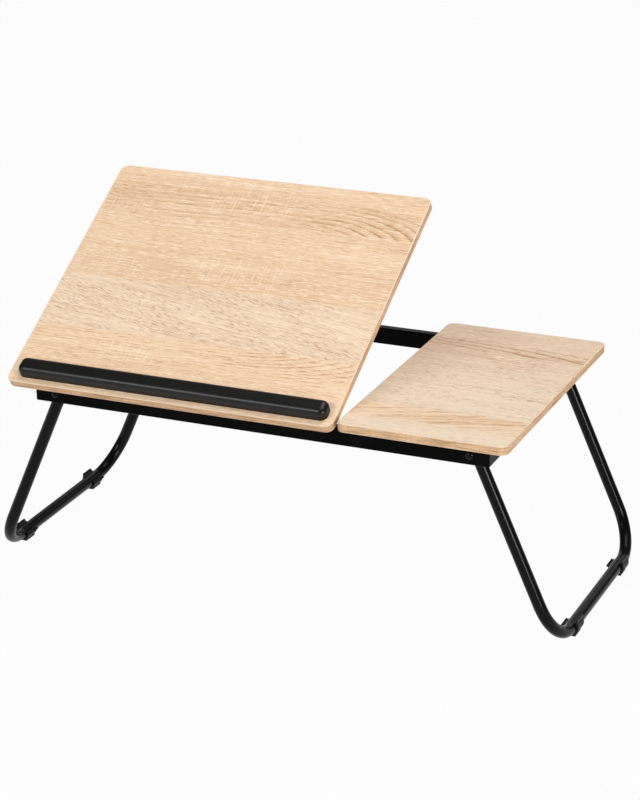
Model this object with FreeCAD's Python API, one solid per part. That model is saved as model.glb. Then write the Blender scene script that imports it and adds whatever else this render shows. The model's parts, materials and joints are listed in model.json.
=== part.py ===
import FreeCAD, Part
import math
import os

from FreeCAD import Vector

# A folding laptop table: a low steel frame on two folding leg loops carries a narrow fixed board on the right
# and a wide board on the left that tilts up on front hinges and stands on a wire prop.
# X runs along the table, Y from its front edge to its back and Z up from the floor.
# Lengths are in millimetres and angles in degrees.

# Boards
board_depth = 300.0
board_thickness = 8.5
main_board_width = 344.0
side_board_width = 167.0
board_gap = 3.0
board_corner = 8.5
edge_round = 0.8
edge_band = 1.2
table_height = 211.0
main_board_tilt = 29.4
left_overhang = 26.8
right_overhang = 19.0

# Laptop stop on the main board
stop_setback = 6.3
stop_depth = 18.8
stop_height = 11.5
stop_left_inset = 11.4
stop_right_inset = 7.4
stop_corner = 7.0
stop_round = 6.0
stop_screw_count = 3
stop_screw_cover = 4.0

# Frame of rectangular tube
rail_width = 10.0
rail_height = 17.5
rail_wall = 1.2
rail_corner = 1.5
rail_setback = 9.5

# Leg loops of round tube
leg_diameter = 12.0
leg_wall = 1.2
leg_splay = 23.8
leg_bend = 42.0
plug_cap = 0.8
plug_length = 8.0
rivet_radius = 2.4
rivet_head_radius = 3.9
rivet_head_height = 1.7
rivet_tail_height = 1.2
washer_radius = 5.5
washer_thickness = 0.8

# Clip-on feet
foot_length = 17.0
foot_wall = 2.0
foot_sole = 2.5
foot_sole_width = 10.0
foot_lip = 4.2
foot_lip_wall = 1.5
foot_lip_corner = 1.0
foot_lip_level = 3.5
foot_lip_flare = 32.0
foot_inset = 0.5

# Butt hinges let into the main board's underside
hinge_width = 40.0
hinge_inset = 60.0
knuckle_radius = 2.4
hinge_pin_radius = 1.2
leaf_thickness = 1.0
board_leaf_length = 24.0
frame_leaf_margin = 0.5
leaf_fastener_count = 3
leaf_fastener_radius = 1.2
leaf_fastener_head = 2.4
leaf_screw_margin = 7.0
leaf_rivet_tail = 0.8

# Wire prop under the main board
prop_wire = 5.0
prop_width = 120.0
prop_offset = 22.0
prop_leg_room = 24.0
prop_bend = 8.0
prop_pin_tip = 1.5
bearing_width = 10.0
bearing_length = 26.0
bearing_wall = 2.0
bearing_flange = 2.0
bearing_cover = 0.4
bearing_inset = 1.0
bearing_screw_spacing = 18.0

# Notched guide that the prop's foot slides in
guide_sheet = 1.5
guide_inset = 6.0
guide_margin = 9.0
guide_lip = 2.0
notch_count = 5
notch_depth = 1.2

# Wood screws
screw_radius = 1.5
screw_head_radius = 3.0
screw_head_height = 1.6
screw_cover = 2.0
recess_span = 3.4
recess_width = 0.9
recess_depth = 1.0
board_screw_inset = 20.0

# Clearances
hole_play = 0.05
running_play = 0.06
side_play = 0.3
stop_play = 0.3
swing_play = 0.3
slot_play = 0.3
mortise_play = 0.4
leaf_play = 0.2
access_play = 0.4

# Tolerances for picking edges by their direction, in degrees, and by their level
parallel_angle = 2.5
level_tolerance = 1e-4

# Levels and places that follow from the sizes
X_AXIS = Vector(1, 0, 0)
Y_AXIS = Vector(0, 1, 0)
Z_AXIS = Vector(0, 0, 1)
ORIGIN = Vector(0, 0, 0)
SIDES = (("left", -1), ("right", 1))
ENDS = (("front", -1), ("back", 1))

board_bottom = table_height - board_thickness
rail_bottom = board_bottom - rail_height
pivot_height = board_bottom - rail_height / 2
frame_half_depth = board_depth / 2 - rail_setback
rail_inner_y = frame_half_depth - rail_width

leg_radius = leg_diameter / 2
splay = math.radians(leg_splay)
arm_y = rail_inner_y - washer_thickness - side_play - leg_radius
bar_height = foot_sole + leg_radius
leg_length = (pivot_height - bar_height) / math.cos(splay)
arm_top = math.sqrt((rail_height / 2 - swing_play) ** 2 - leg_radius ** 2)
tube_top = arm_top - plug_cap

# An open leg leans on the rounded lower inner edge of the end rail,
# which sets how far inside that rail the pivot lies.
stop_level = rail_height / 2 - rail_corner
stop_distance = leg_radius + stop_play + rail_corner
stop_reach = (stop_distance + stop_level * math.sin(splay)) / math.cos(splay) - rail_corner
boards_width = main_board_width + board_gap + side_board_width
frame_half_length = (boards_width - left_overhang - right_overhang) / 2
pivot_x = frame_half_length - rail_width - stop_reach
bar_x = pivot_x + leg_length * math.sin(splay)

side_board_right = frame_half_length + right_overhang
side_board_left = side_board_right - side_board_width
main_board_right = side_board_left - board_gap
main_board_left = main_board_right - main_board_width
board_front = -board_depth / 2
board_back = board_depth / 2

hinge_rise = leaf_thickness + leaf_play / 2
hinge_y = -frame_half_depth - knuckle_radius - swing_play
hinge_z = board_bottom + hinge_rise
hinge_axis = Vector(0, hinge_y, hinge_z)
hinge_centres = (main_board_left + hinge_inset, main_board_right - hinge_inset)

# The prop is as long as its pivot's distance from the hinge, so its foot slides along a straight line
# through the hinge and the prop turns by twice the board's tilt, the other way.
prop_radius = prop_wire / 2
bearing_radius = prop_radius + running_play + bearing_wall
prop_drop = bearing_radius + bearing_cover
prop_reach = (arm_y - leg_radius - prop_leg_room - hinge_y) / 2
prop_arm = math.hypot(prop_reach, prop_drop + hinge_rise)
prop_lean = math.atan2(prop_drop + hinge_rise, prop_reach)
prop_x = (main_board_left + main_board_right) / 2 - prop_offset
tilt = math.radians(main_board_tilt)


def prop_foot(angle, x=0.0):
    """Where the prop's foot lies when the main board is tilted by an angle in radians."""
    reach = 2 * prop_arm * math.cos(angle)
    return Vector(x, hinge_y + reach * math.cos(prop_lean), hinge_z - reach * math.sin(prop_lean))


def prop_pivot(angle, x=0.0):
    """Where the prop's pivot under the main board lies at a tilt in radians."""
    turn = angle - prop_lean
    return Vector(x, hinge_y + prop_arm * math.cos(turn), hinge_z + prop_arm * math.sin(turn))


def block(low, high):
    """A box between two corners, given as (x, y, z)."""
    return Part.makeBox(high[0] - low[0], high[1] - low[1], high[2] - low[2], Vector(*low))


def rod(radius, start, end):
    """A round rod between two points."""
    return Part.makeCylinder(radius, (end - start).Length, start, end - start)


def edges_along(shape, axis):
    """The straight edges that run along an axis."""
    straight = [e for e in shape.Edges if isinstance(e.Curve, (Part.Line, Part.LineSegment))]
    parallel = math.cos(math.radians(parallel_angle))
    return [e for e in straight if abs(e.tangentAt(e.FirstParameter).dot(axis)) > parallel]


def edges_at_height(shape, height):
    """The edges that lie level at a height."""
    level = [e for e in shape.Edges if e.BoundBox.ZLength < level_tolerance]
    return [e for e in level if abs(e.BoundBox.Center.z - height) < level_tolerance]


def rounded_plate(low, high, corner):
    """A level plate with its corners rounded in plan."""
    plate = block(low, high)
    return plate.makeFillet(corner, edges_along(plate, Z_AXIS))


def rounded_path(points, bend):
    """A wire through points, with an arc of one radius at each corner."""
    edges = []
    start = points[0]
    for before, corner, after in zip(points, points[1:], points[2:]):
        back = (before - corner).normalize()
        ahead = (after - corner).normalize()
        half = back.getAngle(ahead) / 2
        inward = (back + ahead).normalize()
        arc_start = corner + back * (bend / math.tan(half))
        arc_end = corner + ahead * (bend / math.tan(half))
        arc_middle = corner + inward * (bend / math.sin(half) - bend)
        edges.append(Part.LineSegment(start, arc_start).toShape())
        edges.append(Part.Arc(arc_start, arc_middle, arc_end).toShape())
        start = arc_end
    edges.append(Part.LineSegment(start, points[-1]).toShape())
    return Part.Wire(edges)


def bent_rod(points, bend, radius):
    """A round rod bent along points."""
    section = Part.Wire(Part.Circle(points[0], points[1] - points[0], radius).toShape())
    return rounded_path(points, bend).makePipeShell([section], True, False)


def slot_prism(start, end, radius, low_x, high_x):
    """A slot with round ends between two points of the side view, cut through along X."""
    along = (end - start).normalize() * radius
    across = X_AXIS.cross(along)
    edges = [
        Part.LineSegment(start + across, end + across).toShape(),
        Part.Arc(end + across, end + along, end - across).toShape(),
        Part.LineSegment(end - across, start - across).toShape(),
        Part.Arc(start - across, start - along, start + across).toShape(),
    ]
    face = Part.Face(Part.Wire(edges)).translated(X_AXIS * (low_x - start.x))
    return face.extrude(X_AXIS * (high_x - low_x))


def spread(low, high, count):
    """The middles of equal shares of a stretch."""
    return [low + (high - low) * (i + 0.5) / count for i in range(count)]


def tilted(shape):
    """A piece of the main board, drawn with the board flat, at the tilt it rests at."""
    return shape.rotated(hinge_axis, X_AXIS, main_board_tilt)


def countersunk(radius, head_radius, head_height, base, length):
    """A countersunk screw or rivet that points up, with the flat of its head at base."""
    head = Part.makeCone(head_radius, radius, head_height, base, Z_AXIS)
    return head.fuse(rod(radius, base, base + Z_AXIS * length))


def round_headed(base, length):
    """A wood screw that points up, with its rounded and cross-recessed head under base."""
    shank = rod(screw_radius, base, base + Z_AXIS * length)
    crown = base - Z_AXIS * screw_head_height
    head = rod(screw_head_radius, crown, base)
    head = head.makeFillet(screw_head_height / 2, edges_at_height(head, crown.z))
    for span_x, span_y in ((recess_span, recess_width), (recess_width, recess_span)):
        half = Vector(span_x / 2, span_y / 2, 0)
        head = head.cut(block(crown - half, crown + half + Z_AXIS * recess_depth))
    return shank.fuse(head)


def drilled(shape, radius, starts, axis, length):
    """A shape with round holes from a list of points."""
    return shape.cut([rod(radius, start, start + axis * length) for start in starts])


# Boards: a core and the band round its edge

def board_core_and_band(low_x, high_x):
    outer = rounded_plate((low_x, board_front, board_bottom),
                          (high_x, board_back, table_height), board_corner)
    core = rounded_plate((low_x + edge_band, board_front + edge_band, board_bottom),
                         (high_x - edge_band, board_back - edge_band, table_height), board_corner - edge_band)
    rims = edges_at_height(outer, board_bottom) + edges_at_height(outer, table_height)
    return core, outer.makeFillet(edge_round, rims).cut(core)


stop_low_x = main_board_left + stop_left_inset
stop_high_x = main_board_right - stop_right_inset
stop_front = board_front + stop_setback
stop_middle_y = stop_front + stop_depth / 2
stop_screw_low_x = hinge_centres[0] + hinge_width / 2
stop_screw_high_x = hinge_centres[1] - hinge_width / 2
stop_screw_xs = spread(stop_screw_low_x, stop_screw_high_x, stop_screw_count)
stop_screw_bases = [Vector(x, stop_middle_y, board_bottom) for x in stop_screw_xs]


def stop_screw(base, play=0.0):
    length = board_thickness + stop_height - stop_screw_cover
    return countersunk(screw_radius + play, screw_head_radius + play, screw_head_height, base, length)


def laptop_stop():
    bar = rounded_plate((stop_low_x, stop_front, table_height),
                        (stop_high_x, stop_front + stop_depth, table_height + stop_height), stop_corner)
    bar = bar.makeFillet(stop_round, edges_at_height(bar, table_height + stop_height))
    return bar.cut([stop_screw(base, hole_play) for base in stop_screw_bases])


# Frame: four tubes joined at mitred corners

def rail(length):
    """A mitred tube along X, centred, with its outer face at y = 0 and its underside at z = 0."""
    outer = block((-length / 2, 0, 0), (length / 2, rail_width, rail_height))
    outer = outer.makeFillet(rail_corner, edges_along(outer, X_AXIS))
    bore = block((-length / 2, rail_wall, rail_wall),
                 (length / 2, rail_width - rail_wall, rail_height - rail_wall))
    tube = outer.cut(bore)
    for _, side in SIDES:
        end_x = side * length / 2
        inner_x = end_x - side * rail_width
        corners = [Vector(end_x, 0, 0), Vector(end_x, rail_width, 0), Vector(inner_x, rail_width, 0)]
        mitre = Part.Face(Part.makePolygon(corners + corners[:1]))
        tube = tube.cut(mitre.extrude(Z_AXIS * rail_height))
    return tube


def placed_rail(length, turn, x, y):
    return rail(length).rotated(ORIGIN, Z_AXIS, turn).translated(Vector(x, y, rail_bottom))


# The side board's screws sit inside the rails, under the upper walls,
# and go in through holes in the lower ones.
board_screw_xs = (side_board_left + board_screw_inset, pivot_x - board_screw_inset)
board_screw_y = frame_half_depth - rail_width / 2
board_screw_places = [(x, end * board_screw_y) for x in board_screw_xs for _, end in ENDS]
board_screw_bases = [Vector(x, y, board_bottom - rail_wall) for x, y in board_screw_places]
board_screw_entries = [Vector(x, y, rail_bottom) for x, y in board_screw_places]
board_screw_length = rail_wall + board_thickness - screw_cover


# Leg pivots

def pivot_rivet(side, end):
    """A rivet through rail, washer and leg tube, turned with its domed head outside the rail."""
    tail_start = frame_half_depth - arm_y + leg_radius + side_play
    tail_end = tail_start + rivet_tail_height
    dome_turn = 2 * math.atan2(rivet_head_height, rivet_head_radius)
    dome_radius = rivet_head_radius / math.sin(dome_turn)
    dome_middle = Vector(dome_radius * math.sin(dome_turn / 2), 0,
                         dome_radius * (1 - math.cos(dome_turn / 2)) - rivet_head_height)
    crown = Vector(0, 0, -rivet_head_height)
    rim = Vector(rivet_head_radius, 0, 0)
    corners = [rim, Vector(rivet_radius, 0, 0), Vector(rivet_radius, 0, tail_start),
               Vector(rivet_head_radius, 0, tail_start), Vector(rivet_head_radius, 0, tail_end),
               Vector(0, 0, tail_end), crown]
    edges = [Part.Arc(crown, dome_middle, rim).toShape()]
    edges += [Part.LineSegment(a, b).toShape() for a, b in zip(corners, corners[1:])]
    rivet = Part.Face(Part.Wire(edges)).revolve(ORIGIN, Z_AXIS, 360)
    outer_face = Vector(side * pivot_x, end * frame_half_depth, pivot_height)
    return rivet.rotated(ORIGIN, X_AXIS, 90 * end).translated(outer_face)


def pivot_hole(side, play):
    """A hole through both rails and both leg arms at one pair of pivots."""
    start = Vector(side * pivot_x, -frame_half_depth, pivot_height)
    return rod(rivet_radius + play, start, start + Y_AXIS * (2 * frame_half_depth))


def pivot_washer(side, end):
    start = Vector(side * pivot_x, end * rail_inner_y, pivot_height)
    ring = rod(washer_radius, start, start - Y_AXIS * (end * washer_thickness))
    return ring.cut(pivot_hole(side, hole_play))


# Leg loops, drawn hanging straight down from the pivots and then swung out

def swung_out(shape, side):
    pivot = Vector(side * pivot_x, 0, pivot_height)
    return shape.rotated(ORIGIN, Y_AXIS, -side * leg_splay).translated(pivot)


def leg_tube(side):
    points = [Vector(0, -arm_y, tube_top), Vector(0, -arm_y, -leg_length),
              Vector(0, arm_y, -leg_length), Vector(0, arm_y, tube_top)]
    outer = bent_rod(points, leg_bend, leg_radius)
    bore = bent_rod(points, leg_bend, leg_radius - leg_wall)
    return swung_out(outer.cut(bore), side).cut(pivot_hole(side, running_play))


def leg_plug(side, end):
    top = Vector(0, end * arm_y, tube_top)
    stem = rod(leg_radius - leg_wall - hole_play, top - Z_AXIS * plug_length, top)
    cap = rod(leg_radius, top, top + Z_AXIS * plug_cap)
    return swung_out(stem.fuse(cap), side).cut(pivot_hole(side, running_play))


def foot(side, end):
    """A clip that holds the leg's bar in line with its arms, with two flared lips and a level sole."""
    bore_radius = leg_radius + hole_play
    outer_radius = bore_radius + foot_wall
    length = Y_AXIS * foot_length
    above_lips = block((-outer_radius, 0, foot_lip_level), (outer_radius, foot_length, outer_radius))
    clip = rod(outer_radius, ORIGIN, length).cut(above_lips)
    lip = block((0, 0, 0), (foot_lip_wall, foot_length, foot_lip))
    tip_corners = [e for e in edges_along(lip, X_AXIS) if e.BoundBox.Center.z > foot_lip / 2]
    lip = lip.makeFillet(foot_lip_corner, tip_corners)
    lip_base = Vector(bore_radius, 0, foot_lip_level - foot_wall)
    lip = lip.rotated(ORIGIN, Y_AXIS, foot_lip_flare).translated(lip_base)
    clip = clip.fuse([lip, lip.mirror(ORIGIN, X_AXIS)]).rotated(ORIGIN, Y_AXIS, -side * leg_splay)
    sole = block((-foot_sole_width / 2, 0, -bar_height), (foot_sole_width / 2, foot_length, 0))
    body = clip.fuse(sole).cut(rod(bore_radius, ORIGIN, length)).removeSplitter()
    bar_end = arm_y - leg_bend - foot_inset
    low_y = bar_end - foot_length if end > 0 else -bar_end
    return body.translated(Vector(side * bar_x, low_y, bar_height))


# Hinges: a leaf let into the main board, a leaf on the front rail and a pin through their knuckles

leaf_slot = knuckle_radius + mortise_play
board_leaf_low = hinge_z + leaf_play / 2
frame_leaf_low = board_bottom
frame_leaf_back = -rail_inner_y - frame_leaf_margin
board_leaf_back = hinge_y + board_leaf_length
leaf_screw_y = board_leaf_back - leaf_screw_margin
leaf_screw_length = table_height - screw_cover - board_leaf_low
leaf_rivet_y = (hinge_y + leaf_slot + frame_leaf_back) / 2


def hinge_leaf(centre, low_z, back_y, knuckles):
    """A hinge leaf that lies level behind its knuckles, whose stretches along X are given."""
    top_z = low_z + leaf_thickness
    left = centre - hinge_width / 2
    right = centre + hinge_width / 2
    leaf = block((left, hinge_y + leaf_slot, low_z), (right, back_y, top_z))
    for start, end in knuckles:
        tongue = block((start, hinge_y, low_z), (end, hinge_y + leaf_slot, top_z))
        barrel = rod(knuckle_radius, Vector(start, hinge_y, hinge_z), Vector(end, hinge_y, hinge_z))
        leaf = leaf.fuse([tongue, barrel])
    return leaf


def hinge_knuckles(centre):
    """The outer knuckles, which the board leaf carries, and the middle one of the frame leaf."""
    third = hinge_width / 3
    left = centre - hinge_width / 2
    right = centre + hinge_width / 2
    outer = ((left, left + third - mortise_play / 2), (right - third + mortise_play / 2, right))
    middle = ((left + third + mortise_play / 2, right - third - mortise_play / 2),)
    return outer, middle


def hinge_pin_rod(centre, play=0.0):
    half = X_AXIS * (hinge_width / 2)
    middle = Vector(centre, hinge_y, hinge_z)
    return rod(hinge_pin_radius + play, middle - half, middle + half)


def leaf_fastener_xs(centre):
    return spread(centre - hinge_width / 2, centre + hinge_width / 2, leaf_fastener_count)


def leaf_screw(x, play=0.0):
    """A short screw up through the board leaf."""
    base = Vector(x, leaf_screw_y, board_leaf_low)
    head_radius = leaf_fastener_head + play
    return countersunk(leaf_fastener_radius + play, head_radius, leaf_thickness, base, leaf_screw_length)


def leaf_rivet(x, play=0.0):
    """A flush rivet down through the frame leaf and the rail's upper wall, with its tail in the tube."""
    top = Vector(x, leaf_rivet_y, frame_leaf_low + leaf_thickness)
    tail_top = top - Z_AXIS * (leaf_thickness + rail_wall)
    head = Part.makeCone(leaf_fastener_head + play, leaf_fastener_radius + play, leaf_thickness, top, -Z_AXIS)
    shank = rod(leaf_fastener_radius + play, top, tail_top)
    tail = rod(leaf_fastener_head, tail_top, tail_top - Z_AXIS * leaf_rivet_tail)
    return head.fuse([shank, tail])


def hinge_mortise(centre):
    """The pocket for one hinge in the main board: shallow for the leaves, deep for the knuckles."""
    left = centre - hinge_width / 2 - mortise_play
    right = centre + hinge_width / 2 + mortise_play
    front = hinge_y - leaf_slot
    leaves = block((left, front, board_bottom),
                   (right, board_leaf_back + mortise_play, board_leaf_low + leaf_thickness))
    groove = block((left, front, board_bottom), (right, hinge_y + leaf_slot, hinge_z + leaf_slot))
    return leaves.fuse(groove)


# Prop, its bearings and its guide

def prop_bail():
    half = X_AXIS * (prop_width / 2)
    pin = X_AXIS * (prop_bend + bearing_inset + bearing_width + prop_pin_tip)
    pivot = prop_pivot(tilt, prop_x)
    foot_bar = prop_foot(tilt, prop_x)
    points = [pivot - half - pin, pivot - half, foot_bar - half,
              foot_bar + half, pivot + half, pivot + half + pin]
    return bent_rod(points, prop_bend, prop_radius)


bearing_near = prop_width / 2 + prop_bend + bearing_inset
bearing_screw_ys = [prop_pivot(0).y + end * bearing_screw_spacing / 2 for _, end in ENDS]


def bearing_low_x(side):
    return prop_x + side * bearing_near - (bearing_width if side < 0 else 0)


def bearing_screw_bases(side):
    middle_x = bearing_low_x(side) + bearing_width / 2
    return [Vector(middle_x, y, board_bottom - bearing_flange) for y in bearing_screw_ys]


def prop_bearing(side):
    """A block screwed under the main board, with a bore for one end of the prop."""
    low_x = bearing_low_x(side)
    high_x = low_x + bearing_width
    axis = prop_pivot(0, low_x)
    boss = rod(bearing_radius, axis, axis + X_AXIS * bearing_width)
    neck = block((low_x, axis.y - bearing_radius, axis.z), (high_x, axis.y + bearing_radius, board_bottom))
    flange = block((low_x, axis.y - bearing_length / 2, board_bottom - bearing_flange),
                   (high_x, axis.y + bearing_length / 2, board_bottom))
    body = boss.fuse([neck, flange]).removeSplitter()
    body = drilled(body, prop_radius + running_play, [axis], X_AXIS, bearing_width)
    return drilled(body, screw_radius + hole_play, bearing_screw_bases(side), Z_AXIS, bearing_flange)


bearing_screw_length = bearing_flange + board_thickness - screw_cover


def prop_guide():
    """A bracket welded to the back rail, with two cheeks slotted and notched for the prop's foot."""
    web_top = board_bottom - swing_play
    web_bottom = web_top - guide_sheet
    slot_radius = prop_radius + slot_play
    raised = prop_foot(tilt)
    lowered = prop_foot(0)
    cheek_bottom = lowered.z - slot_radius - notch_depth - guide_lip
    front = raised.y - guide_margin
    guide_width = prop_width - 2 * (prop_bend + guide_inset)
    left = prop_x - guide_width / 2
    right = prop_x + guide_width / 2
    bracket = block((left, front, web_bottom), (right, rail_inner_y, web_top))
    for low_x in (left, right - guide_sheet):
        cheek = block((low_x, front, cheek_bottom), (low_x + guide_sheet, lowered.y + guide_margin, web_top))
        lower_corners = [e for e in edges_along(cheek, X_AXIS) if e.BoundBox.Center.z < web_bottom]
        bracket = bracket.fuse(cheek.makeFillet(guide_margin / 2, lower_corners))
    cuts = [slot_prism(raised, lowered, slot_radius, left, right)]
    for step in range(notch_count):
        middle = prop_foot(tilt * step / (notch_count - 1), left) - Z_AXIS * notch_depth
        cuts.append(rod(slot_radius, middle, middle + X_AXIS * guide_width))
    return bracket.removeSplitter().cut(cuts)


# Assembly: every node by name
nodes = {}

main_core, main_band = board_core_and_band(main_board_left, main_board_right)
all_bearing_bases = [base for _, side in SIDES for base in bearing_screw_bases(side)]
main_cuts = [hinge_mortise(centre) for centre in hinge_centres]
main_cuts += [stop_screw(base, hole_play) for base in stop_screw_bases]
main_cuts += [leaf_screw(x, hole_play) for centre in hinge_centres for x in leaf_fastener_xs(centre)]
main_cuts += [rod(screw_radius + hole_play, base, base + Z_AXIS * bearing_screw_length)
              for base in all_bearing_bases]
nodes["main_board"] = tilted(main_core.cut(main_cuts))
nodes["main_board_edge_band"] = tilted(main_band)
nodes["laptop_stop"] = tilted(laptop_stop())
nodes["laptop_stop_screws"] = tilted(Part.makeCompound([stop_screw(base) for base in stop_screw_bases]))

side_core, side_band = board_core_and_band(side_board_left, side_board_right)
side_screws = [round_headed(base, board_screw_length) for base in board_screw_bases]
nodes["side_board"] = drilled(
    side_core, screw_radius + hole_play, board_screw_bases, Z_AXIS, board_screw_length)
nodes["side_board_edge_band"] = side_band
nodes["side_board_screws"] = Part.makeCompound(side_screws)

pivot_holes = [pivot_hole(side, hole_play) for _, side in SIDES]
through_wall = Z_AXIS * rail_wall
entry_radius = screw_head_radius + access_play
screw_holes = [rod(screw_radius + hole_play, base, base + through_wall) for base in board_screw_bases]
screw_holes += [rod(entry_radius, entry, entry + through_wall) for entry in board_screw_entries]
rivet_holes = [leaf_rivet(x, hole_play) for centre in hinge_centres for x in leaf_fastener_xs(centre)]
nodes["front_rail"] = placed_rail(2 * frame_half_length, 0, 0, -frame_half_depth).cut(
    pivot_holes + screw_holes + rivet_holes)
nodes["back_rail"] = placed_rail(2 * frame_half_length, 180, 0, frame_half_depth).cut(
    pivot_holes + screw_holes)
nodes["left_end_rail"] = placed_rail(2 * frame_half_depth, -90, -frame_half_length, 0)
nodes["right_end_rail"] = placed_rail(2 * frame_half_depth, 90, frame_half_length, 0)

for (name, _), centre in zip(SIDES, hinge_centres):
    outer_knuckles, middle_knuckle = hinge_knuckles(centre)
    fastener_xs = leaf_fastener_xs(centre)
    board_leaf = hinge_leaf(centre, board_leaf_low, board_leaf_back, outer_knuckles)
    board_leaf = board_leaf.cut([leaf_screw(x, hole_play) for x in fastener_xs])
    board_leaf = board_leaf.cut(hinge_pin_rod(centre, running_play))
    frame_leaf = hinge_leaf(centre, frame_leaf_low, frame_leaf_back, middle_knuckle)
    frame_leaf = frame_leaf.cut([leaf_rivet(x, hole_play) for x in fastener_xs])
    frame_leaf = frame_leaf.cut(hinge_pin_rod(centre, hole_play))
    nodes[name + "_hinge_board_leaf"] = tilted(board_leaf)
    nodes[name + "_hinge_frame_leaf"] = frame_leaf
    nodes[name + "_hinge_pin"] = hinge_pin_rod(centre)
    nodes[name + "_hinge_screws"] = tilted(Part.makeCompound([leaf_screw(x) for x in fastener_xs]))
    nodes[name + "_hinge_rivets"] = Part.makeCompound([leaf_rivet(x) for x in fastener_xs])

nodes["prop_bail"] = prop_bail()
nodes["prop_guide"] = prop_guide()
for name, side in SIDES:
    nodes[name + "_prop_bearing"] = tilted(prop_bearing(side))
bearing_screws = [round_headed(base, bearing_screw_length) for base in all_bearing_bases]
nodes["prop_bearing_screws"] = tilted(Part.makeCompound(bearing_screws))

for name, side in SIDES:
    nodes[name + "_leg_tube"] = leg_tube(side)
    nodes[name + "_leg_plugs"] = Part.makeCompound([leg_plug(side, end) for _, end in ENDS])
    nodes[name + "_leg_rivets"] = Part.makeCompound([pivot_rivet(side, end) for _, end in ENDS])
    nodes[name + "_leg_washers"] = Part.makeCompound([pivot_washer(side, end) for _, end in ENDS])
    for end_name, end in ENDS:
        nodes[name + "_" + end_name + "_foot"] = foot(side, end)

# The origin lies on the floor, in the middle of the space that the table takes up.
whole = Part.makeCompound(list(nodes.values())).optimalBoundingBox()
to_origin = Vector(-whole.Center.x, -whole.Center.y, -whole.ZMin)

os.makedirs("parts", exist_ok=True)
for node, shape in nodes.items():
    shape.translated(to_origin).exportStep("parts/" + node + ".step")

print("nodes", len(nodes), "size", [round(v, 2) for v in (whole.XLength, whole.YLength, whole.ZLength)])
print("shift", [round(v, 4) for v in to_origin])
print("board hinge axis", [round(v, 4) for v in hinge_axis + to_origin])
print("prop pivot at rest", [round(v, 4) for v in prop_pivot(tilt, prop_x) + to_origin])
print("leg pivots", round(pivot_x, 4), round(pivot_height, 4), "folded turn", round(90 + leg_splay, 2))
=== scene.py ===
# %% [markdown]
# A folding laptop table for the bed: a wide oak board that tilts up behind a black stop bar, a narrow
# level board beside it, a black steel frame under both, and two folding leg loops of round tube.
# The construction is already done, at its real size, so this lesson is about the looks: finishes made
# of shader nodes, the weld beads that hold the frame, and a plain studio with the camera in it.

# %% Load the table
import json
import math
from typing import NamedTuple

import bmesh
import bpy
from mathutils import Matrix, Vector


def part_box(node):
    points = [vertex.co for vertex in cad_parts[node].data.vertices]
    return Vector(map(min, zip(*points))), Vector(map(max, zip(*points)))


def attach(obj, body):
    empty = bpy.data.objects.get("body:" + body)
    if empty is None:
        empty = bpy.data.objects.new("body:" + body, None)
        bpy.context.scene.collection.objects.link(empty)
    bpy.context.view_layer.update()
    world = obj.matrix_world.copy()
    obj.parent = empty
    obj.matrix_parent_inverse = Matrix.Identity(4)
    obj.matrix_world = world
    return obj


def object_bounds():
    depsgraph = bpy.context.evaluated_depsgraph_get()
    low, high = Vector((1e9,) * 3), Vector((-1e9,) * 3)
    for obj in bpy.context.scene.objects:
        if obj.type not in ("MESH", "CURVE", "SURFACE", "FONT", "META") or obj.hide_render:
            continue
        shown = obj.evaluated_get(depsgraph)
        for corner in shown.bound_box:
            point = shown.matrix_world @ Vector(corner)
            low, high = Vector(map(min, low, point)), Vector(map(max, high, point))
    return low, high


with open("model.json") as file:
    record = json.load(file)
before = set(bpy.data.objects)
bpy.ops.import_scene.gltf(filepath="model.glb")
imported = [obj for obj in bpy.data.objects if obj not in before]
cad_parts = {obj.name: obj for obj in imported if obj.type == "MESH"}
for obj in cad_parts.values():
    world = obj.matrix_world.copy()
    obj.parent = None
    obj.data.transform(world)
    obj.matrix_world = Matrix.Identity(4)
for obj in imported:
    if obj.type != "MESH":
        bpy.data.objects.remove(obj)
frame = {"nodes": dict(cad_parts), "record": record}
cad_low, cad_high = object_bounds()
nodes = frame["nodes"]
MM = 0.001
print("pieces", len(nodes), "size in mm", [round(side / MM, 1) for side in cad_high - cad_low])

# %% [markdown]
# Shader nodes can be wired one by one, which soon hides what they compute. Here a small class wraps a
# socket, so that a pattern is written as a sum or a product in Python and its Math nodes follow.

# %% Sockets as Python values
class Amount:
    """Something that changes over a surface: a socket that takes part in Python expressions."""

    def __init__(self, finish, socket):
        self.finish = finish
        self.socket = socket

    def maths(self, operation, *terms):
        return self.finish.node("ShaderNodeMath", {"operation": operation}, dict(enumerate(terms)))

    def __add__(self, other):
        return self.maths("ADD", self, other)

    def __radd__(self, other):
        return self.maths("ADD", other, self)

    def __sub__(self, other):
        return self.maths("SUBTRACT", self, other)

    def __rsub__(self, other):
        return self.maths("SUBTRACT", other, self)

    def __mul__(self, other):
        return self.maths("MULTIPLY", self, other)

    def __rmul__(self, other):
        return self.maths("MULTIPLY", other, self)

    def __truediv__(self, other):
        return self.maths("DIVIDE", self, other)

    def __rtruediv__(self, other):
        return self.maths("DIVIDE", other, self)

    def __pow__(self, other):
        return self.maths("POWER", self, other)

    def at_least(self, low):
        """The value, or low where that is more."""
        return self.maths("MAXIMUM", self, low)

    def fraction(self):
        """What is left over after the whole number."""
        return self.maths("FRACT", self)

    def step(self, low, high):
        """Zero below low, one above high, and a smooth rise between them."""
        limits = {"Value": self, "From Min": low, "From Max": high}
        return self.finish.node("ShaderNodeMapRange", {"interpolation_type": "SMOOTHSTEP"}, limits)


print("an amount can", [name for name in vars(Amount) if not name.startswith("_")])

# %% [markdown]
# Every other node comes from one method: its settings are set first, because they decide which sockets
# the node has, and then its sockets get values or links. A finish keeps one material together with that
# method, and with short ways to mix two colours, to raise a bump and to set the shader's sockets.

# %% A finish and its nodes
def find_socket(sockets, key):
    """A socket by its number, or by its identifier or name."""
    if isinstance(key, int):
        return sockets[key]
    return next(s for s in sockets if key in (s.identifier, s.name))


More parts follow.
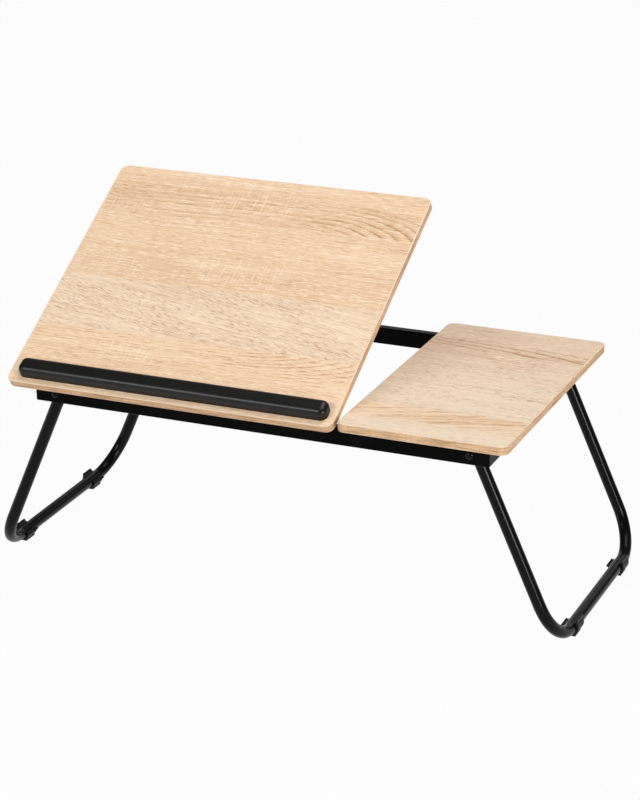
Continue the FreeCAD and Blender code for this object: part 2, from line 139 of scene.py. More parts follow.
def own_node(tree, kind):
    """The node of a kind that a new tree comes with."""
    return next(n for n in tree.nodes if n.type == kind)


class Finish:
    """One material and the nodes that make it."""

    def __init__(self, name):
        self.material = bpy.data.materials.new(name)
        self.material.use_nodes = True
        self.tree = self.material.node_tree
        self.shader = own_node(self.tree, "BSDF_PRINCIPLED")

    def node(self, kind, settings=None, sockets=None, output=0):
        made = self.tree.nodes.new(kind)
        for setting, value in (settings or {}).items():
            if setting == "stops":
                self.set_stops(made.color_ramp, value)
            else:
                setattr(made, setting, value)
        for key, value in (sockets or {}).items():
            self.feed(find_socket(made.inputs, key), value)
        return Amount(self, find_socket(made.outputs, output))

    def set_stops(self, ramp, stops):
        while len(ramp.elements) < len(stops):
            ramp.elements.new(1.0)
        for element, (position, colour) in zip(ramp.elements, stops):
            element.position = position
            element.color = colour

    def feed(self, socket, value):
        if isinstance(value, Amount):
            self.tree.links.new(value.socket, socket)
        else:
            socket.default_value = value

    def mix(self, factor, first, second):
        sockets = {"Factor_Float": factor, "A_Color": first, "B_Color": second}
        return self.node("ShaderNodeMix", {"data_type": "RGBA"}, sockets, "Result_Color")

    def bump(self, height, depth, strength):
        return self.node("ShaderNodeBump", {}, {"Height": height, "Distance": depth, "Strength": strength})

    def surface(self, **values):
        """Sets the shader's sockets, such as Base_Color for Base Color."""
        for name, value in values.items():
            self.feed(self.shader.inputs[name.replace("_", " ")], value)
        return self.material


print("a finish can", [name for name in vars(Finish) if not name.startswith("_")])

# %% [markdown]
# The boards are chipboard under a printed oak paper. A print lies in the board's own plane, so its
# pattern is drawn there too: along the grain, across it and down through the thickness, in millimetres.
# The wide board rests tilted, and its rest for the laptop says which way its top faces. Measuring the
# edge band in those directions gives the corner where both boards' patterns start.

# %% The plane of each board
class Board(NamedTuple):
    """A board's front left top corner, its directions, its depth from front to back and its thickness."""

    corner: Vector
    along: Vector
    across: Vector
    up: Vector
    depth: float
    thickness: float


def board_plane(band, normal):
    """Measures a board on the band round its edge."""
    along = Vector((1, 0, 0))
    up = Vector(normal).normalized()
    across = up.cross(along)
    points = [v.co for v in nodes[band].data.vertices]
    ways = (along, across, up)
    lows = [min(p.dot(way) for p in points) for way in ways]
    highs = [max(p.dot(way) for p in points) for way in ways]
    corner = along * lows[0] + across * lows[1] + up * highs[2]
    return Board(corner, along, across, up, highs[1] - lows[1], highs[2] - lows[2])


mounts = {mount["name"]: mount for mount in frame["record"]["mounts"]}
main_plane = board_plane("main_board_edge_band", mounts["laptop_rest"]["axis"])
side_plane = board_plane("side_board_edge_band", mounts["side_board_top"]["axis"])
for plane in (main_plane, side_plane):
    print("depth and thickness in mm", round(plane.depth / MM, 1), round(plane.thickness / MM, 1))

# %% [markdown]
# A pattern has to know where a point lies on its board. Object coordinates stay with a piece when it
# moves, so the print travels with the tilting board, and a product with each direction says how far the
# point lies that way. Each distance is divided by a size before it goes into the noise, whose blots then
# have these sizes: long and thin ones make a grain.

# %% Patterns on a board
def board_place(finish, board):
    """How far a point lies along the grain, across it and above the board's top, in millimetres."""
    place = finish.node("ShaderNodeTexCoord", output="Object")
    offset = finish.node("ShaderNodeVectorMath", {"operation": "SUBTRACT"}, {0: place, 1: board.corner})

    def distance(way):
        reach = {0: offset, 1: way}
        return finish.node("ShaderNodeVectorMath", {"operation": "DOT_PRODUCT"}, reach, "Value") / MM

    return distance(board.along), distance(board.across), distance(board.up)


def cloud(finish, spots, sizes, detail=2.0, seed=0.0):
    """A random pattern from 0 to 1 whose blots have the given sizes in millimetres."""
    shares = [spot / size for spot, size in zip(spots, sizes)]
    if len(shares) < 3:
        shares.append(seed)
    point = finish.node("ShaderNodeCombineXYZ", {}, dict(enumerate(shares)))
    return finish.node("ShaderNodeTexNoise", {}, {"Vector": point, "Scale": 1.0, "Detail": detail})


print("patterns start at", [[round(c / MM, 1) for c in plane.corner] for plane in (main_plane, side_plane)])

# %% [markdown]
# The print shows staves glued edge to edge. Each stave has its own tone, lines, pores and slant, and
# some have the nested arches of a flat-sawn plank: lines that run level along the grain and then curve
# to one side and end. One drawing of the grain with values that jump at each joint is far lighter than
# one drawing for every stave, so a stave is only a row of values here.

# %% Staves of the print
class Stave(NamedTuple):
    """A stave from its front edge in millimetres, with the strength of what its print shows."""

    front: float
    bands: float
    lines: float
    pores: float
    lean: float
    arch_start: float = 0.0
    arch_line: float = 0.0
    arch_way: float = 1.0
    arch_flare: float = 0.2
    arch_spacing: float = 8.0
    arch_strength: float = 0.0


main_staves = (
    Stave(front=0, bands=0.8, lines=0.8, pores=0.25, lean=0.0, arch_start=215, arch_line=89, arch_way=-1,
          arch_flare=0.26, arch_spacing=3.8, arch_strength=1.1),
    Stave(front=78, bands=0.7, lines=0.9, pores=1.0, lean=0.14),
    Stave(front=147, bands=0.8, lines=0.75, pores=0.4, lean=0.02, arch_start=238, arch_line=228, arch_way=1,
          arch_flare=0.35, arch_spacing=5.4, arch_strength=1.4),
)
side_staves = (
    Stave(front=0, bands=0.7, lines=0.6, pores=0.2, lean=0.02),
    Stave(front=31, bands=2.8, lines=1.6, pores=0.1, lean=-0.36),
    Stave(front=65, bands=0.7, lines=0.9, pores=0.9, lean=0.05, arch_start=-60, arch_line=218.5, arch_way=1,
          arch_flare=0.16, arch_spacing=7.3, arch_strength=1.4),
    Stave(front=261, bands=0.6, lines=0.7, pores=0.35, lean=0.04),
)
print("staves", len(main_staves), len(side_staves))

# %% [markdown]
# Grain runs along its stave, but never straight: a slow drift and a quick ripple push the lines to and
# fro, and a lean turns them. The figure's patterns share these bent lines, so that bands and streaks
# follow one another, and a jump at each joint makes every stave a plank of its own.

# %% Grain
JOINT_BLUR = 0.4
STAVE_SHIFT = 37.0
DRIFT_REACH = 12
RIPPLE_REACH = 4


class Grain:
    """Where a point lies on a board, on which of its staves, and on which line of the grain."""

    def __init__(self, finish, board, staves, seed):
        self.finish = finish
        self.staves = staves
        self.seed = seed
        self.along, self.across, self.above = board_place(finish, board)
        self.joints = [self.across.step(s.front - JOINT_BLUR, s.front + JOINT_BLUR) for s in staves[1:]]
        shift = sum((joint * STAVE_SHIFT for joint in self.joints), 0.0)
        straight = self.across + shift
        self.drift = self.swing(long=210, wide=60, seed=0, line=straight)
        self.ripple = self.swing(long=45, wide=13, seed=3, line=straight)
        bent = self.across + self.drift * DRIFT_REACH + self.ripple * RIPPLE_REACH
        self.line = bent + self.along * self.stave("lean") + shift

    def stave(self, quality):
        """A quality of the staves, which jumps at each joint."""
        levels = [getattr(stave, quality) for stave in self.staves]
        amount = levels[0]
        for joint, before, after in zip(self.joints, levels, levels[1:]):
            amount = amount + joint * (after - before)
        return amount

    def pattern(self, long, wide, seed, detail=2.0, line=None):
        """A random pattern from 0 to 1 with blots of these sizes, on the grain's lines or on others."""
        spots = self.along, self.line if line is None else line
        return cloud(self.finish, spots, (long, wide), detail, self.seed + seed)

    def swing(self, **choices):
        """Such a pattern, to both sides of zero."""
        return self.pattern(**choices) - 0.5


print("grain lines wander by up to", (DRIFT_REACH + RIPPLE_REACH) / 2, "mm to each side")

# %% [markdown]
# Arches appear where a saw cuts across the growth rings of a tree. Each ring is drawn as the distance
# from one line and one end, so its curves nest by themselves. Dividing it by the spacing and keeping
# what is left over gives a slope across each ring, and a power of that slope leaves a thin dark line at
# one edge only, as the late wood does. Breaks and a soft window keep the arches from looking stamped.

# %% Arches
ARCH_DRIFT = 5
ARCH_RIPPLE = 2
ARCH_FRAY = 0.5
ARCH_THINNESS = 3.5
ARCH_END = 9.0
ARCH_END_FADE = 4
ARCH_FADE = 38, 60
ARCH_LEVEL_SHARE = 0.6


def arches(grain, streaks):
    """How dark the ring lines of the flat-sawn staves are."""
    bent = grain.across + grain.drift * ARCH_DRIFT + grain.ripple * ARCH_RIPPLE
    rise = (bent - grain.stave("arch_line")) * grain.stave("arch_way")
    run = ((grain.along - grain.stave("arch_start")) * grain.stave("arch_flare")).at_least(0.0)
    ring = (rise ** 2 + run ** 2) ** 0.5
    edge = 1 - (ring / grain.stave("arch_spacing") + streaks * ARCH_FRAY).fraction()
    breaks = 0.4 + grain.pattern(long=22, wide=7, seed=21, line=grain.across).step(0.3, 0.6) * 0.6
    inside = rise.step(ARCH_END, ARCH_END + ARCH_END_FADE) * (1 - ring.step(*ARCH_FADE))
    window = inside * (ARCH_LEVEL_SHARE + run / ring)
    return edge ** ARCH_THINNESS * breaks * window * grain.stave("arch_strength")


print("staves with arches", sum(stave.arch_strength > 0 for stave in main_staves + side_staves))

# %% [markdown]
# One value says how dark the figure is at each point. It is a sum, because inks add up: broad bands and
# blots, thin streaks and long threads, short fibres and crisp dashes, pale flecks, and the arches. Each
# has its own length and width, which is what tells oak from pine or ash, and its own share of ink.

# %% Figure
GROUND_INK = 0.45
BAND_INK = 0.7
BLOT_INK = 0.3
FIBRE_INK = 1.3
STREAK_INK = 1.2
THREAD_INK = 0.9
DASH_INK = 0.4
FLECK_INK = 0.34
ARCH_INK = 0.6


def figure(grain, streaks, dashes, rings):
    """How dark the print is, about GROUND_INK where it is plain."""
    bands = grain.swing(long=260, wide=6, seed=5)
    blots = grain.swing(long=55, wide=15, seed=2)
    threads = grain.swing(long=240, wide=1.7, seed=25, detail=1.0)
    fibres = grain.swing(long=11, wide=0.9, seed=11)
    flecks = grain.pattern(long=8, wide=1.2, seed=9, detail=1.0).step(0.54, 0.7)
    soft = bands * grain.stave("bands") * BAND_INK + blots * BLOT_INK + fibres * FIBRE_INK
    lines = (streaks * STREAK_INK + threads * THREAD_INK) * grain.stave("lines")
    crisp = dashes * grain.stave("lines") * DASH_INK
    return GROUND_INK + (soft + lines) + crisp - flecks * FLECK_INK + rings * ARCH_INK


print("inks of the figure from", min(BLOT_INK, FLECK_INK), "to", max(FIBRE_INK, STREAK_INK))

# %% [markdown]
# Pores are the cut vessels of the oak, short dark dashes that slant more than the lines do and gather
# in patches. Single dashes could be drawn one by one, but a board has thousands of them, so they come
# from noise, and a narrow step through it gives them sharp ends.

# %% Pores
PORE_SLANT = 1.2


def pores(grain):
    """How dark the pores are, and zero between them."""
    slant = grain.line + grain.along * grain.stave("lean") * PORE_SLANT
    field = grain.pattern(long=9, wide=1.0, seed=17, detail=1.0, line=slant).step(0.56, 0.66)
    patch = grain.pattern(long=70, wide=18, seed=19).step(0.34, 0.6)
    return field * patch * grain.stave("pores")


print("pores slant by", 1 + PORE_SLANT, "times the lean of the lines")

# %% [markdown]
# Sawn oak keeps the saw's pale marks, short ticks across the grain, and the print copies them. They lie
# in a few patches only, so each board has a list of these. A beat along the grain places the ticks, a
# slow drift makes the beat uneven, and rows of noise break it up.

# %% Saw marks
class Patch(NamedTuple):
    """A stretch of saw marks, from and to along the grain and across it, in millimetres."""

    left: float
    right: float
    front: float
    back: float


main_marks = (Patch(-10, 98, 143, 184), Patch(118, 240, 146, 196), Patch(108, 215, 240, 292),
              Patch(-10, 60, 228, 262), Patch(70, 150, 36, 80), Patch(135, 185, 96, 147))
side_marks = (Patch(5, 70, 70, 120),)
PATCH_BLUR = 14.0
TICK_SPACING = 4.4
TICK_DRIFT = 2
TICK_WIDTH = 0.024
LONG_MARK_SHARE = 0.5


def in_patches(grain, patches):
    """One inside the patches and zero outside, with soft edges."""
    inside = 0.0
    for patch in patches:
        from_left = grain.along.step(patch.left, patch.left + PATCH_BLUR)
        to_right = 1 - grain.along.step(patch.right - PATCH_BLUR, patch.right)
        from_front = grain.across.step(patch.front, patch.front + PATCH_BLUR)
        to_back = 1 - grain.across.step(patch.back - PATCH_BLUR, patch.back)
        inside = inside + from_left * to_right * from_front * to_back
    return inside


def saw_marks(grain, patches):
    """One on the saw marks and zero between them."""
    drift = grain.pattern(long=30, wide=40, seed=23, detail=1.0, line=grain.across)
    beat = (grain.along / TICK_SPACING + drift * TICK_DRIFT).fraction() - 0.5
    rows = grain.pattern(long=7, wide=17, seed=31, line=grain.across).step(0.42, 0.7)
    ticks = (1 - (beat ** 2).step(0.0, TICK_WIDTH)) * rows
    long_marks = grain.pattern(long=15, wide=1.3, seed=29, detail=1.0, line=grain.across).step(0.58, 0.68)
    return (ticks + long_marks * LONG_MARK_SHARE) * in_patches(grain, patches)


print("patches of saw marks", len(main_marks), len(side_marks))

# %% [markdown]
# Colours are written on the scale of 0 to 255 that a colour picker shows, because there they can be
# compared with a picture. Shaders take linear light, so each level goes through the usual screen curve.

# %% Colours
def tone(red, green, blue):
    """A colour given on the usual scale of 0 to 255, as the linear colour that shaders take."""
    def linear(level):
        share = level / 255
        return share / 12.92 if share <= 0.04045 else ((share + 0.055) / 1.055) ** 2.4

    return (linear(red), linear(green), linear(blue), 1.0)


print("mid oak", [round(level, 3) for level in tone(237, 208, 176)])

# %% [markdown]
# A printer starts from a ground and lays inks over it. The ground is a soft run of tones from front to
# back that jumps at some joints, so it is a colour ramp with its stops at shares of the board's depth. On
# the side board its back half is darker, partly the print and partly painted shade of light falling off.
# A lighter and a brown ink carry it to both sides, and pores and saw marks have inks of their own.

# %% Oak tones
MILK_OAK = tone(242, 221, 196)
PALE_OAK = tone(232, 206, 178)
AMBER_OAK = tone(241, 209, 174)
HONEY_OAK = tone(236, 204, 169)
TOAST_OAK = tone(228, 194, 158)
SHADED_ROSE_OAK = tone(234, 206, 179)
LIGHT_OAK = tone(253, 231, 204)
BROWN_OAK = tone(192, 150, 110)
PORE_OAK = tone(156, 115, 84)
MARK_OAK = tone(253, 236, 211)
BACKING_OAK = tone(214, 184, 150)
main_ground = ((0.0, HONEY_OAK), (0.258, HONEY_OAK), (0.262, PALE_OAK), (0.488, PALE_OAK), (0.492, TOAST_OAK),
               (0.58, TOAST_OAK), (0.70, HONEY_OAK), (0.86, TOAST_OAK), (1.0, HONEY_OAK))
# Painted shade: past the middle, the side board's ground darkens towards the back, where less light falls, as
# well as turning rosier.
side_ground = ((0.0, MILK_OAK), (0.07, MILK_OAK), (0.13, AMBER_OAK), (0.214, AMBER_OAK), (0.219, MILK_OAK),
               (0.45, MILK_OAK), (0.72, SHADED_ROSE_OAK), (1.0, SHADED_ROSE_OAK))
print("stops of the ground", len(main_ground), len(side_ground))

# %% [markdown]
# Now the print is put together. The figure carries the ground to the lighter or the brown ink, and pores
# and saw marks come over it. Pores, dashes and arches are also pressed into the film, by a hundredth of
# a millimetre, so they feed a bump. The underside carries a plain backing film of like colour, so there
# the figure fades. The film is dull, because its gloss would mirror the lamps as white sheets.

# %% Oak print
PORE_INK = 0.6
MARK_INK = 0.62
BACKING_DEPTH = 4.0
BACKING_SHARE = 0.72
PRESS_DEPTH = 0.01 * MM


def oak_print(name, board, staves, ground_stops, patches, seed):
    finish = Finish(name)
    grain = Grain(finish, board, staves, seed)
    streaks = grain.swing(long=65, wide=1.2, seed=7)
    dash_patch = grain.pattern(long=80, wide=14, seed=15).step(0.3, 0.6)
    dashes = grain.pattern(long=17, wide=1.2, seed=13, detail=1.0).step(0.54, 0.68) * dash_patch
    rings = arches(grain, streaks)
    vessels = pores(grain)
    dark = figure(grain, streaks, dashes, rings)

    depth_share = grain.across / (board.depth / MM)
    ground = finish.node("ShaderNodeValToRGB", {"stops": ground_stops}, {"Fac": depth_share})
    colour = finish.mix(dark.step(-0.1, 0.5), LIGHT_OAK, ground)
    colour = finish.mix(dark.step(0.5, 1.2), colour, BROWN_OAK)
    colour = finish.mix(vessels * PORE_INK, colour, PORE_OAK)
    colour = finish.mix(saw_marks(grain, patches) * MARK_INK, colour, MARK_OAK)
    face = (grain.above + BACKING_DEPTH).step(-0.5, 0.5)
    colour = finish.mix((1 - face) * BACKING_SHARE, colour, BACKING_OAK)
    relief = (0 - vessels - dashes * 0.5 - rings) * face
    return finish.surface(
        Base_Color=colour,
        Roughness=0.66 + vessels * 0.2 - streaks * 0.1,
        Specular_IOR_Level=0.15,
        Normal=finish.bump(relief, depth=PRESS_DEPTH, strength=0.2),
    )


main_oak = oak_print("oak_print_main", main_plane, main_staves, main_ground, main_marks, seed=2.0)
side_oak = oak_print("oak_print_side", side_plane, side_staves, side_ground, side_marks, seed=41.0)
print("oak nodes", len(main_oak.node_tree.nodes), len(side_oak.node_tree.nodes))

# %% [markdown]
# The edges carry a thin band of the same print, ironed on. Its lines follow the edge all the way round
# the corners, so they come from a pattern of thin level layers: whichever side it is cut on, the layers
# show as lines along the edge. The trimmed rims are paler, and are painted paler still as a highlight
# along each edge, so they draw a light line round each board.

# %% Edge band
RIM_WIDTH = 1.0
LAYER_INK = 0.6
FLECK_SHARE = 0.45
RIM_SHARE = 0.6
BAND_OAK = tone(227, 189, 149)
BAND_LINE = tone(152, 112, 80)
TRIM_AND_HIGHLIGHT_OAK = tone(250, 229, 202)


def oak_band(name, board):
    finish = Finish(name)
    spots = board_place(finish, board)
    above = spots[2]
    bottom = -board.thickness / MM
    layers = cloud(finish, spots, (30, 30, 1.3), detail=3.0).step(0.4, 0.66)
    fleck = cloud(finish, spots, (4, 4, 0.9), detail=1.0).step(0.54, 0.7)
    top_rim = above.step(-RIM_WIDTH, -RIM_WIDTH / 2)
    low_rim = 1 - above.step(bottom + RIM_WIDTH / 2, bottom + RIM_WIDTH)
    colour = finish.mix(layers * LAYER_INK, BAND_OAK, BAND_LINE)
    colour = finish.mix(fleck * FLECK_SHARE, colour, BAND_LINE)
    # Painted highlight: both rims of the band are made paler than the trim alone would be.
    colour = finish.mix((top_rim + low_rim) * RIM_SHARE, colour, TRIM_AND_HIGHLIGHT_OAK)
    return finish.surface(
        Base_Color=colour,
        Roughness=0.64 - layers * 0.06,
        Specular_IOR_Level=0.15,
        Normal=finish.bump(0 - layers - fleck, depth=0.05 * MM, strength=0.4),
    )


main_band = oak_band("oak_band_main", main_plane)
side_band = oak_band("oak_band_side", side_plane)
print("band nodes", len(main_band.node_tree.nodes), len(side_band.node_tree.nodes))

# %% [markdown]
# Everything black is powder coated or moulded. Frame, tubes and pivot rivets are coated: the powder
# melts into a skin with a faint orange peel, glossier on the tubes than on the frame, and most on the
# pressed heads. None is a flat black: dust, peel and handling vary the shine, which is what the eye
# reads on a dark piece, so each of them is a pattern of its own size.

# %% Powder coats
def neutral(level):
    """A black or grey on the scale of 0 to 255."""
    return tone(level, level, level)


DUST = neutral(60)
DUST_SHARE = 0.3


def table_place(finish):
    """A point of the table in millimetres along its three directions."""
    place = finish.node("ShaderNodeTexCoord", output="Object")
    parts = [finish.node("ShaderNodeSeparateXYZ", {}, {0: place}, way) for way in range(3)]
    return [part / MM for part in parts]


def even_cloud(finish, spots, size, detail=2.0):
    """A random pattern with round blots."""
    return cloud(finish, spots, (size, size, size), detail)


def powder_coat(name, dark, light, roughness, shine, peel):
    finish = Finish(name)
    spots = table_place(finish)
    skin = even_cloud(finish, spots, size=peel)
    haze = even_cloud(finish, spots, size=26)
    dust = even_cloud(finish, spots, size=0.7, detail=0.0).step(0.74, 0.8)
    colour = finish.mix(haze.step(0.3, 0.75), neutral(dark), neutral(light))
    colour = finish.mix(dust * DUST_SHARE, colour, DUST)
    return finish.surface(
        Base_Color=colour,
        Roughness=roughness + (haze - 0.5) * 0.12 + dust * 0.2,
        Specular_IOR_Level=shine,
        Normal=finish.bump(skin, depth=0.02 * MM, strength=0.14),
    )


frame_coat = powder_coat("black_frame_coat", dark=4, light=9, roughness=0.26, shine=0.03, peel=1.6)
tube_coat = powder_coat("black_tube_coat", dark=4, light=8, roughness=0.22, shine=0.12, peel=2.2)
rivet_coat = powder_coat("black_rivet_coat", dark=4, light=8, roughness=0.12, shine=0.12, peel=2.2)
print("powder coats", frame_coat.name, tube_coat.name, rivet_coat.name)

# %% [markdown]
# The stop, the feet, the plugs and the prop's bearings are moulded. A mould leaves an even fine grain,
# and the melt leaves long faint flow marks. The stop's black is slightly warm, and it is the smoother of
# the two plastics, so that its rounded edge draws one long highlight.

# %% Moulded plastics
def moulded(name, dark, light, roughness, shine, grain_size):
    finish = Finish(name)
    spots = table_place(finish)
    texture = even_cloud(finish, spots, size=grain_size, detail=1.0)
    flow = cloud(finish, spots, (40, 9, 9))
    colour = finish.mix(flow.step(0.3, 0.75), dark, light)
    return finish.surface(
        Base_Color=colour,
        Roughness=roughness + (texture - 0.5) * 0.2 + (flow - 0.5) * 0.1,
        Specular_IOR_Level=shine,
        Normal=finish.bump(texture, depth=0.05 * MM, strength=0.45),
    )


stop_black = moulded("black_stop", tone(11, 10, 9), tone(17, 15, 14),
                     roughness=0.36, shine=0.32, grain_size=0.6)
foot_black = moulded("black_plastic", neutral(20), neutral(28),
                     roughness=0.5, shine=0.2, grain_size=0.5)
print("plastics", stop_black.name, foot_black.name)

# %% [markdown]
# The hinges, pins and screws are zinc plated. A plated part is brushed by its tumbling, with a faint
# blue and yellow bloom. The washers are plain nylon, slightly mottled where they were cut from rod.

# %% Zinc and nylon
BLUE_ZINC = tone(196, 200, 208)
YELLOW_ZINC = tone(208, 203, 188)
SCRATCH_ZINC = tone(150, 152, 156)
DIM_NYLON = tone(214, 211, 202)
CLEAR_NYLON = tone(228, 226, 218)


def zinc_plate(name):
    finish = Finish(name)
    spots = table_place(finish)
    brushed = cloud(finish, spots, (9, 0.35, 0.35))
    bloom = even_cloud(finish, spots, size=7).step(0.35, 0.7)
    colour = finish.mix(bloom, BLUE_ZINC, YELLOW_ZINC)
    return finish.surface(
        Base_Color=finish.mix(brushed.step(0.45, 0.8) * 0.35, colour, SCRATCH_ZINC),
        Metallic=1.0,
        Roughness=0.3 + brushed * 0.18,
        Normal=finish.bump(brushed, depth=0.02 * MM, strength=0.3),
    )


def nylon_disc(name):
    finish = Finish(name)
    spots = table_place(finish)
    mottle = even_cloud(finish, spots, size=2)
    return finish.surface(
        Base_Color=finish.mix(mottle.step(0.3, 0.7), DIM_NYLON, CLEAR_NYLON),
        Roughness=0.42 + mottle * 0.16,
        Normal=finish.bump(mottle, depth=0.03 * MM, strength=0.3),
    )


zinc = zinc_plate("zinc_steel")
nylon = nylon_disc("nylon")
print("finishes", zinc.name, nylon.name)

# %% [markdown]
# Each piece of the construction now takes its finish. The record names a finish for every piece, so
# the pieces are dressed by that name. Only the boards and bands, whose print depends on which board it
# is, and the pivot rivets, whose pressed heads are glossier than the tubes, are named one by one.

# %% Dress the pieces
slot_finishes = {
    "black_frame_coat": frame_coat,
    "black_tube_coat": tube_coat,
    "black_stop": stop_black,
    "black_plastic": foot_black,
    "zinc_steel": zinc,
    "nylon": nylon,
}
named_finishes = {
    "left_leg_rivets": rivet_coat,
    "right_leg_rivets": rivet_coat,
    "main_board": main_oak,
    "side_board": side_oak,
    "main_board_edge_band": main_band,
    "side_board_edge_band": side_band,
}
for subpart in frame["record"]["subparts"]:
    node = subpart["node"]
    finish = named_finishes.get(node) or slot_finishes[subpart["material_slot"]]
    mesh = nodes[node].data
    mesh.materials.clear()
    mesh.materials.append(finish)

# %% [markdown]
# The frame's tubes are welded inside their corners, and the prop's guide is stitched to the back rail.
# A weld bead is a row of overlapping ripples, one for each pulse of the welder. A smooth strip would
# look like glue, so the bead's height and edge rise and fall along its length, and its ends taper.

# %% Shape of a weld bead
RIPPLE = 1.1 * MM
RIPPLE_LOW = 0.82
RIPPLE_RISE = 0.18
RINGS_PER_RIPPLE = 6
FEWEST_RINGS = 12
BEAD_SIDES = 9
HOLLOW_LOW = 0.78
HOLLOW_RISE = 0.22
TAPER_START = 0.25
TAPER_SLOPE = 6


def bead_ring(bead, centre, reach, first_face, second_face):
    """The corner that a bead fills and a quarter turn round it, hollow between the faces."""
    ring = [bead.verts.new(centre)]
    for side in range(BEAD_SIDES):
        turn = math.pi / 2 * side / (BEAD_SIDES - 1)
        swell = reach * (HOLLOW_LOW + HOLLOW_RISE * abs(math.cos(2 * turn)))
        outwards = first_face * math.cos(turn) + second_face * math.sin(turn)
        ring.append(bead.verts.new(centre + outwards * swell))
    return ring


def bead_mesh(name, start, end, first_face, second_face, size):
    """A rippled bead in the corner of two faces, which lie along the given directions from it."""
    length = (end - start).length
    count = max(FEWEST_RINGS, round(length / RIPPLE * RINGS_PER_RIPPLE))
    bead = bmesh.new()
    rings = []
    for step in range(count + 1):
        share = step / count
        phase = share * length / RIPPLE % 1.0
        taper = min(1.0, TAPER_SLOPE * share + TAPER_START, TAPER_SLOPE * (1 - share) + TAPER_START)
        reach = size * taper * (RIPPLE_LOW + RIPPLE_RISE * math.sqrt(1 - phase))
        rings.append(bead_ring(bead, start.lerp(end, share), reach, first_face, second_face))
    for near, far in zip(rings, rings[1:]):
        for i in range(len(near)):
            j = (i + 1) % len(near)
            bead.faces.new((near[i], near[j], far[j], far[i]))
    bead.faces.new(rings[0][::-1])
    bead.faces.new(rings[-1])
    bmesh.ops.recalc_face_normals(bead, faces=bead.faces)
    mesh = bpy.data.meshes.new(name)
    bead.to_mesh(mesh)
    bead.free()
    mesh.shade_smooth()
    return mesh


print("ripples of a weld every", round(RIPPLE / MM, 1), "mm")

# %% [markdown]
# The places of the beads are measured on the pieces, so that they follow the frame: four stand in the
# corners of the rails, a bead's width short of the tubes' edges, and two lie along the seam where the
# guide meets the back rail. All ride on the frame, because these joints never move.

# %% Weld beads
CORNER_BEAD = 1.8 * MM
GUIDE_BEAD = 2.2 * MM
STITCH = 18 * MM
SEAM_REACH = 0.1 * MM
scene = bpy.context.scene
beads = []


def add_object(name, data):
    """An object of the scene, made from a mesh, a light or a camera."""
    made = bpy.data.objects.new(name, data)
    scene.collection.objects.link(made)
    return made


def weld(name, *shape):
    """Adds a bead to the frame."""
    mesh = bead_mesh(name, *shape)
    mesh.materials.append(frame_coat)
    piece = add_object(name, mesh)
    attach(piece, "frame")
    beads.append(piece)


end_inner = {-1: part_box("left_end_rail")[1].x, 1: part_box("right_end_rail")[0].x}
rail_inner = {-1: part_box("front_rail")[1].y, 1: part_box("back_rail")[0].y}
rail_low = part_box("front_rail")[0].z
rail_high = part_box("front_rail")[1].z
for side, corner_x in end_inner.items():
    for end, corner_y in rail_inner.items():
        low = Vector((corner_x, corner_y, rail_low + CORNER_BEAD))
        high = Vector((corner_x, corner_y, rail_high - CORNER_BEAD))
        inwards = Vector((-side, 0, 0)), Vector((0, -end, 0))
        weld(f"corner_weld_{len(beads) + 1}", low, high, *inwards, CORNER_BEAD)

guide_low, guide_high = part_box("prop_guide")
seam = [v.co.z for v in nodes["prop_guide"].data.vertices if guide_high.y - v.co.y < SEAM_REACH]
for place in (guide_low.x + STITCH, guide_high.x - STITCH):
    left = Vector((place - STITCH / 2, guide_high.y, min(seam)))
    right = left + Vector((STITCH, 0, 0))
    ways = Vector((0, -1, 0)), Vector((0, 0, -1))
    weld(f"guide_weld_{len(beads) + 1}", left, right, *ways, GUIDE_BEAD)
print("weld beads", len(beads))

# %% [markdown]
# The studio is a white floor without end and soft light from above. The floor is white to the camera
# and to reflections, and still takes the table's shadow faintly. A floor lit until it is white would
# also light the table from below, so the white is a glow that only these rays see.

# %% Floor
FLOOR_HALF = 30.0
FLOOR_WHITE = 0.6
SHADOW_SHARE = 0.04
floor_mesh = bpy.data.meshes.new("floor")
floor_corners = [(x, y, 0) for x, y in ((-1, -1), (1, -1), (1, 1), (-1, 1))]
floor_mesh.from_pydata([Vector(c) * FLOOR_HALF for c in floor_corners], [], [(0, 1, 2, 3)])
floor = add_object("floor", floor_mesh)

floor_finish = Finish("white_floor")
rays = [floor_finish.node("ShaderNodeLightPath", output=ray)
        for ray in ("Is Camera Ray", "Is Glossy Ray", "Is Transmission Ray")]
seen = (rays[0] + rays[1] + rays[2]).step(0.0, 1.0)
floor_colour = (FLOOR_WHITE, FLOOR_WHITE, FLOOR_WHITE, 1.0)
floor_finish.surface(Base_Color=floor_colour, Roughness=0.9, Specular_IOR_Level=0.0)
plain = Amount(floor_finish, floor_finish.shader.outputs[0])
white = floor_finish.node("ShaderNodeEmission", {}, {"Color": (1, 1, 1, 1), "Strength": 1.0})
shown = floor_finish.node("ShaderNodeMixShader", {}, {0: seen * (1 - SHADOW_SHARE), 1: plain, 2: white})
floor_finish.feed(own_node(floor_finish.tree, "OUTPUT_MATERIAL").inputs["Surface"], shown)
floor_mesh.materials.append(floor_finish.material)
print("floor in metres", [round(side, 1) for side in floor.dimensions])

# %% [markdown]
# On black gloss a lamp shows as its own reflection, so one box stands low in front, where the stop's
# rounded edge mirrors it to the camera, and a strip on the right draws the streaks along the tubes. The
# largest box hangs above and lights both boards, and a weak one behind lifts the back edges.

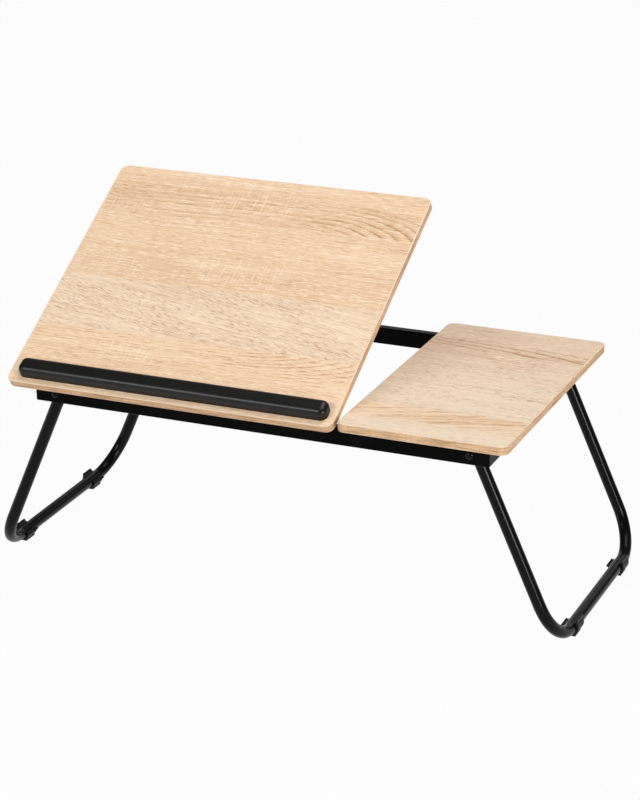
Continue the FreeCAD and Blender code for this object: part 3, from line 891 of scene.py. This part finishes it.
# %% Light
SKY_STRENGTH = 0.2
scene.view_settings.view_transform = "Standard"
scene.world = bpy.data.worlds.new("studio")
scene.world.use_nodes = True
sky = own_node(scene.world.node_tree, "BACKGROUND")
sky.inputs["Color"].default_value = (1.0, 1.0, 1.0, 1.0)
sky.inputs["Strength"].default_value = SKY_STRENGTH
middle = (cad_low + cad_high) / 2


def lamp(name, place, width, height, power):
    """A soft box at a place in metres, turned to the middle of the table."""
    light = bpy.data.lights.new(name, "AREA")
    light.shape = "RECTANGLE"
    light.size = width
    light.size_y = height
    light.energy = power
    made = add_object(name, light)
    made.location = place
    made.rotation_euler = (middle - Vector(place)).to_track_quat("-Z", "Y").to_euler()
    return made


lamps = [
    lamp("front_box", (-0.86, -1.82, 1.25), width=0.9, height=0.5, power=20.0),
    lamp("top_box", (0.5, 0.2, 2.5), width=1.6, height=1.6, power=30.5),
    lamp("right_strip", (1.76, -1.11, 0.48), width=0.6, height=0.5, power=21.0),
    lamp("back_box", (-0.2, 2.2, 0.95), width=2.6, height=0.9, power=6.0),
]
print("lamps", [made.name for made in lamps])

# %% [markdown]
# The camera stands a few steps away with a long lens, in front and to the right of the table and above
# it. Its place is given as a direction from the table's middle and a distance, which can be read, and
# it leans a little, as a hand-levelled camera does.

# %% Camera
VIEW_AZIMUTH = math.radians(23.62)
VIEW_ELEVATION = math.radians(21.16)
VIEW_ROLL = math.radians(-0.78)
VIEW_DISTANCE = 2.5235
VIEW_CENTRE = Vector((0.0029, 0.0079, 0.1656))
VIEW_LENS = 114.4
level = math.cos(VIEW_ELEVATION)
back = Vector((math.sin(VIEW_AZIMUTH) * level, -math.cos(VIEW_AZIMUTH) * level, math.sin(VIEW_ELEVATION)))
camera_data = bpy.data.cameras.new("camera")
camera_data.lens = VIEW_LENS
camera = add_object("camera", camera_data)
roll = Matrix.Rotation(VIEW_ROLL, 4, "Z")
turn = (-back).to_track_quat("-Z", "Y").to_matrix().to_4x4()
camera.matrix_world = Matrix.Translation(VIEW_CENTRE + back * VIEW_DISTANCE) @ turn @ roll
scene.camera = camera
print("camera", [round(c, 3) for c in camera.matrix_world.translation])

# %% [markdown]
